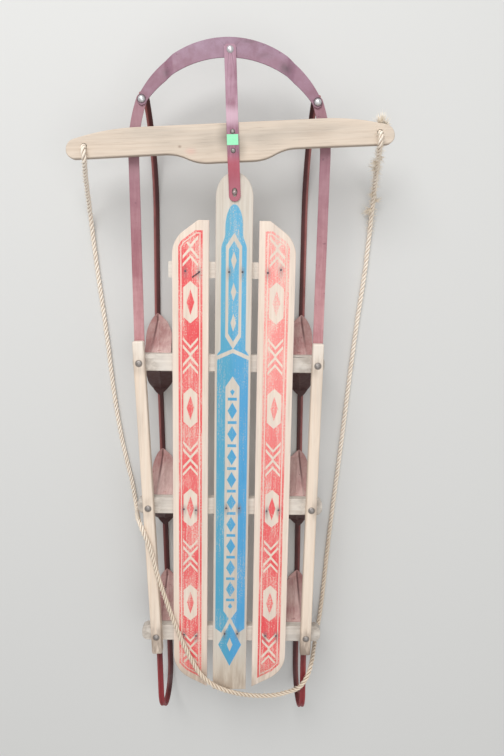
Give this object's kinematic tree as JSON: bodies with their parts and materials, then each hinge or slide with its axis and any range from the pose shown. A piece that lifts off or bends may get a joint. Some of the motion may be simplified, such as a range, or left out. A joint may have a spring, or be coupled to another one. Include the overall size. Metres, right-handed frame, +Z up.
{
  "type": "runner sled",
  "caption": "Wooden steerable runner sled with printed slats, pressed knees, strip runners, a bow, a steering bar on a lever and a pull rope.",
  "frame": {"origin": "on the floor, under the middle of the overall box without the rope", "axes": "+Y towards the nose, +X to the right, +Z up"},
  "size_m": [0.6069, 1.3926, 0.1649],
  "materials": {
    "slat_wood": "worn varnish with faded red and blue print",
    "frame_wood": "bare grey weathered",
    "rail_wood": "worn varnish",
    "bar_wood": "bare, weathered",
    "knee_paint": "faded red paint",
    "runner_paint": "dark red paint with rust",
    "steel_paint": "faded red paint with a chalky bloom",
    "zinc": "bright zinc",
    "rivet_steel": "dull grey",
    "rope": "coarse sisal"
  },
  "bodies": {
    "steering": {"bar_rivet_1": "rivet_steel", "bar_rivet_2": "rivet_steel", "knot_left": "rope", "knot_right": "rope", "lever": "steel_paint", "rope_left": "rope", "rope_right": "rope", "steering_bar": "bar_wood"},
    "frame": {"batten_front": "frame_wood", "crossbar_1": "frame_wood", "crossbar_2": "frame_wood", "crossbar_3": "frame_wood", "knee_left_1": "knee_paint", "knee_left_2": "knee_paint", "knee_left_3": "knee_paint", "knee_right_1": "knee_paint", "knee_right_2": "knee_paint", "knee_right_3": "knee_paint", "lever_pin": "rivet_steel", "rail_left": "rail_wood", "rail_right": "rail_wood", "rail_rivet_left_1": "rivet_steel", "rail_rivet_left_2": "rivet_steel", "rail_rivet_left_3": "rivet_steel", "rail_rivet_right_1": "rivet_steel", "rail_rivet_right_2": "rivet_steel", "rail_rivet_right_3": "rivet_steel", "rope_middle": "rope", "runner_left": "runner_paint", "runner_right": "runner_paint", "slat_left": "slat_wood", "slat_middle": "slat_wood", "slat_right": "slat_wood"},
    "bow": {"bow": "steel_paint", "bow_bolt_left": "zinc", "bow_bolt_middle": "zinc", "bow_bolt_right": "zinc"},
    "nose_left": {"runner_nose_left": "runner_paint", "strap_left": "steel_paint"},
    "nose_right": {"runner_nose_right": "runner_paint", "strap_right": "steel_paint"}
  },
  "joints": [
    {"name": "steer", "type": "hinge", "parent": "frame", "child": "steering", "pos_m": [0.0089, 0.42325, 0.137], "axis": [0, 0, 1], "range_deg": [-9.5, 4.4]},
    {"name": "nose_left_swing", "type": "hinge", "parent": "frame", "child": "nose_left", "pos_m": [-0.17545, 0.09485, 0.125], "axis": [0, 0, 1], "range_deg": [-5, 2.4]},
    {"name": "nose_right_swing", "type": "hinge", "parent": "frame", "child": "nose_right", "pos_m": [0.17655, 0.09485, 0.125], "axis": [0, 0, 1], "range_deg": [-5, 2.4]},
    {"name": "bow_swing", "type": "hinge", "parent": "nose_left", "child": "bow", "pos_m": [-0.16591, 0.58911, 0.128], "axis": [0, 0, 1], "range_deg": [-2.6, 5.4]}
  ],
  "couplings": [
    {"joint": "nose_left_swing", "follows": "steer", "ratio": 0.51426},
    {"joint": "nose_right_swing", "follows": "steer", "ratio": 0.51426},
    {"joint": "bow_swing", "follows": "steer", "ratio": -0.5529}
  ]
}
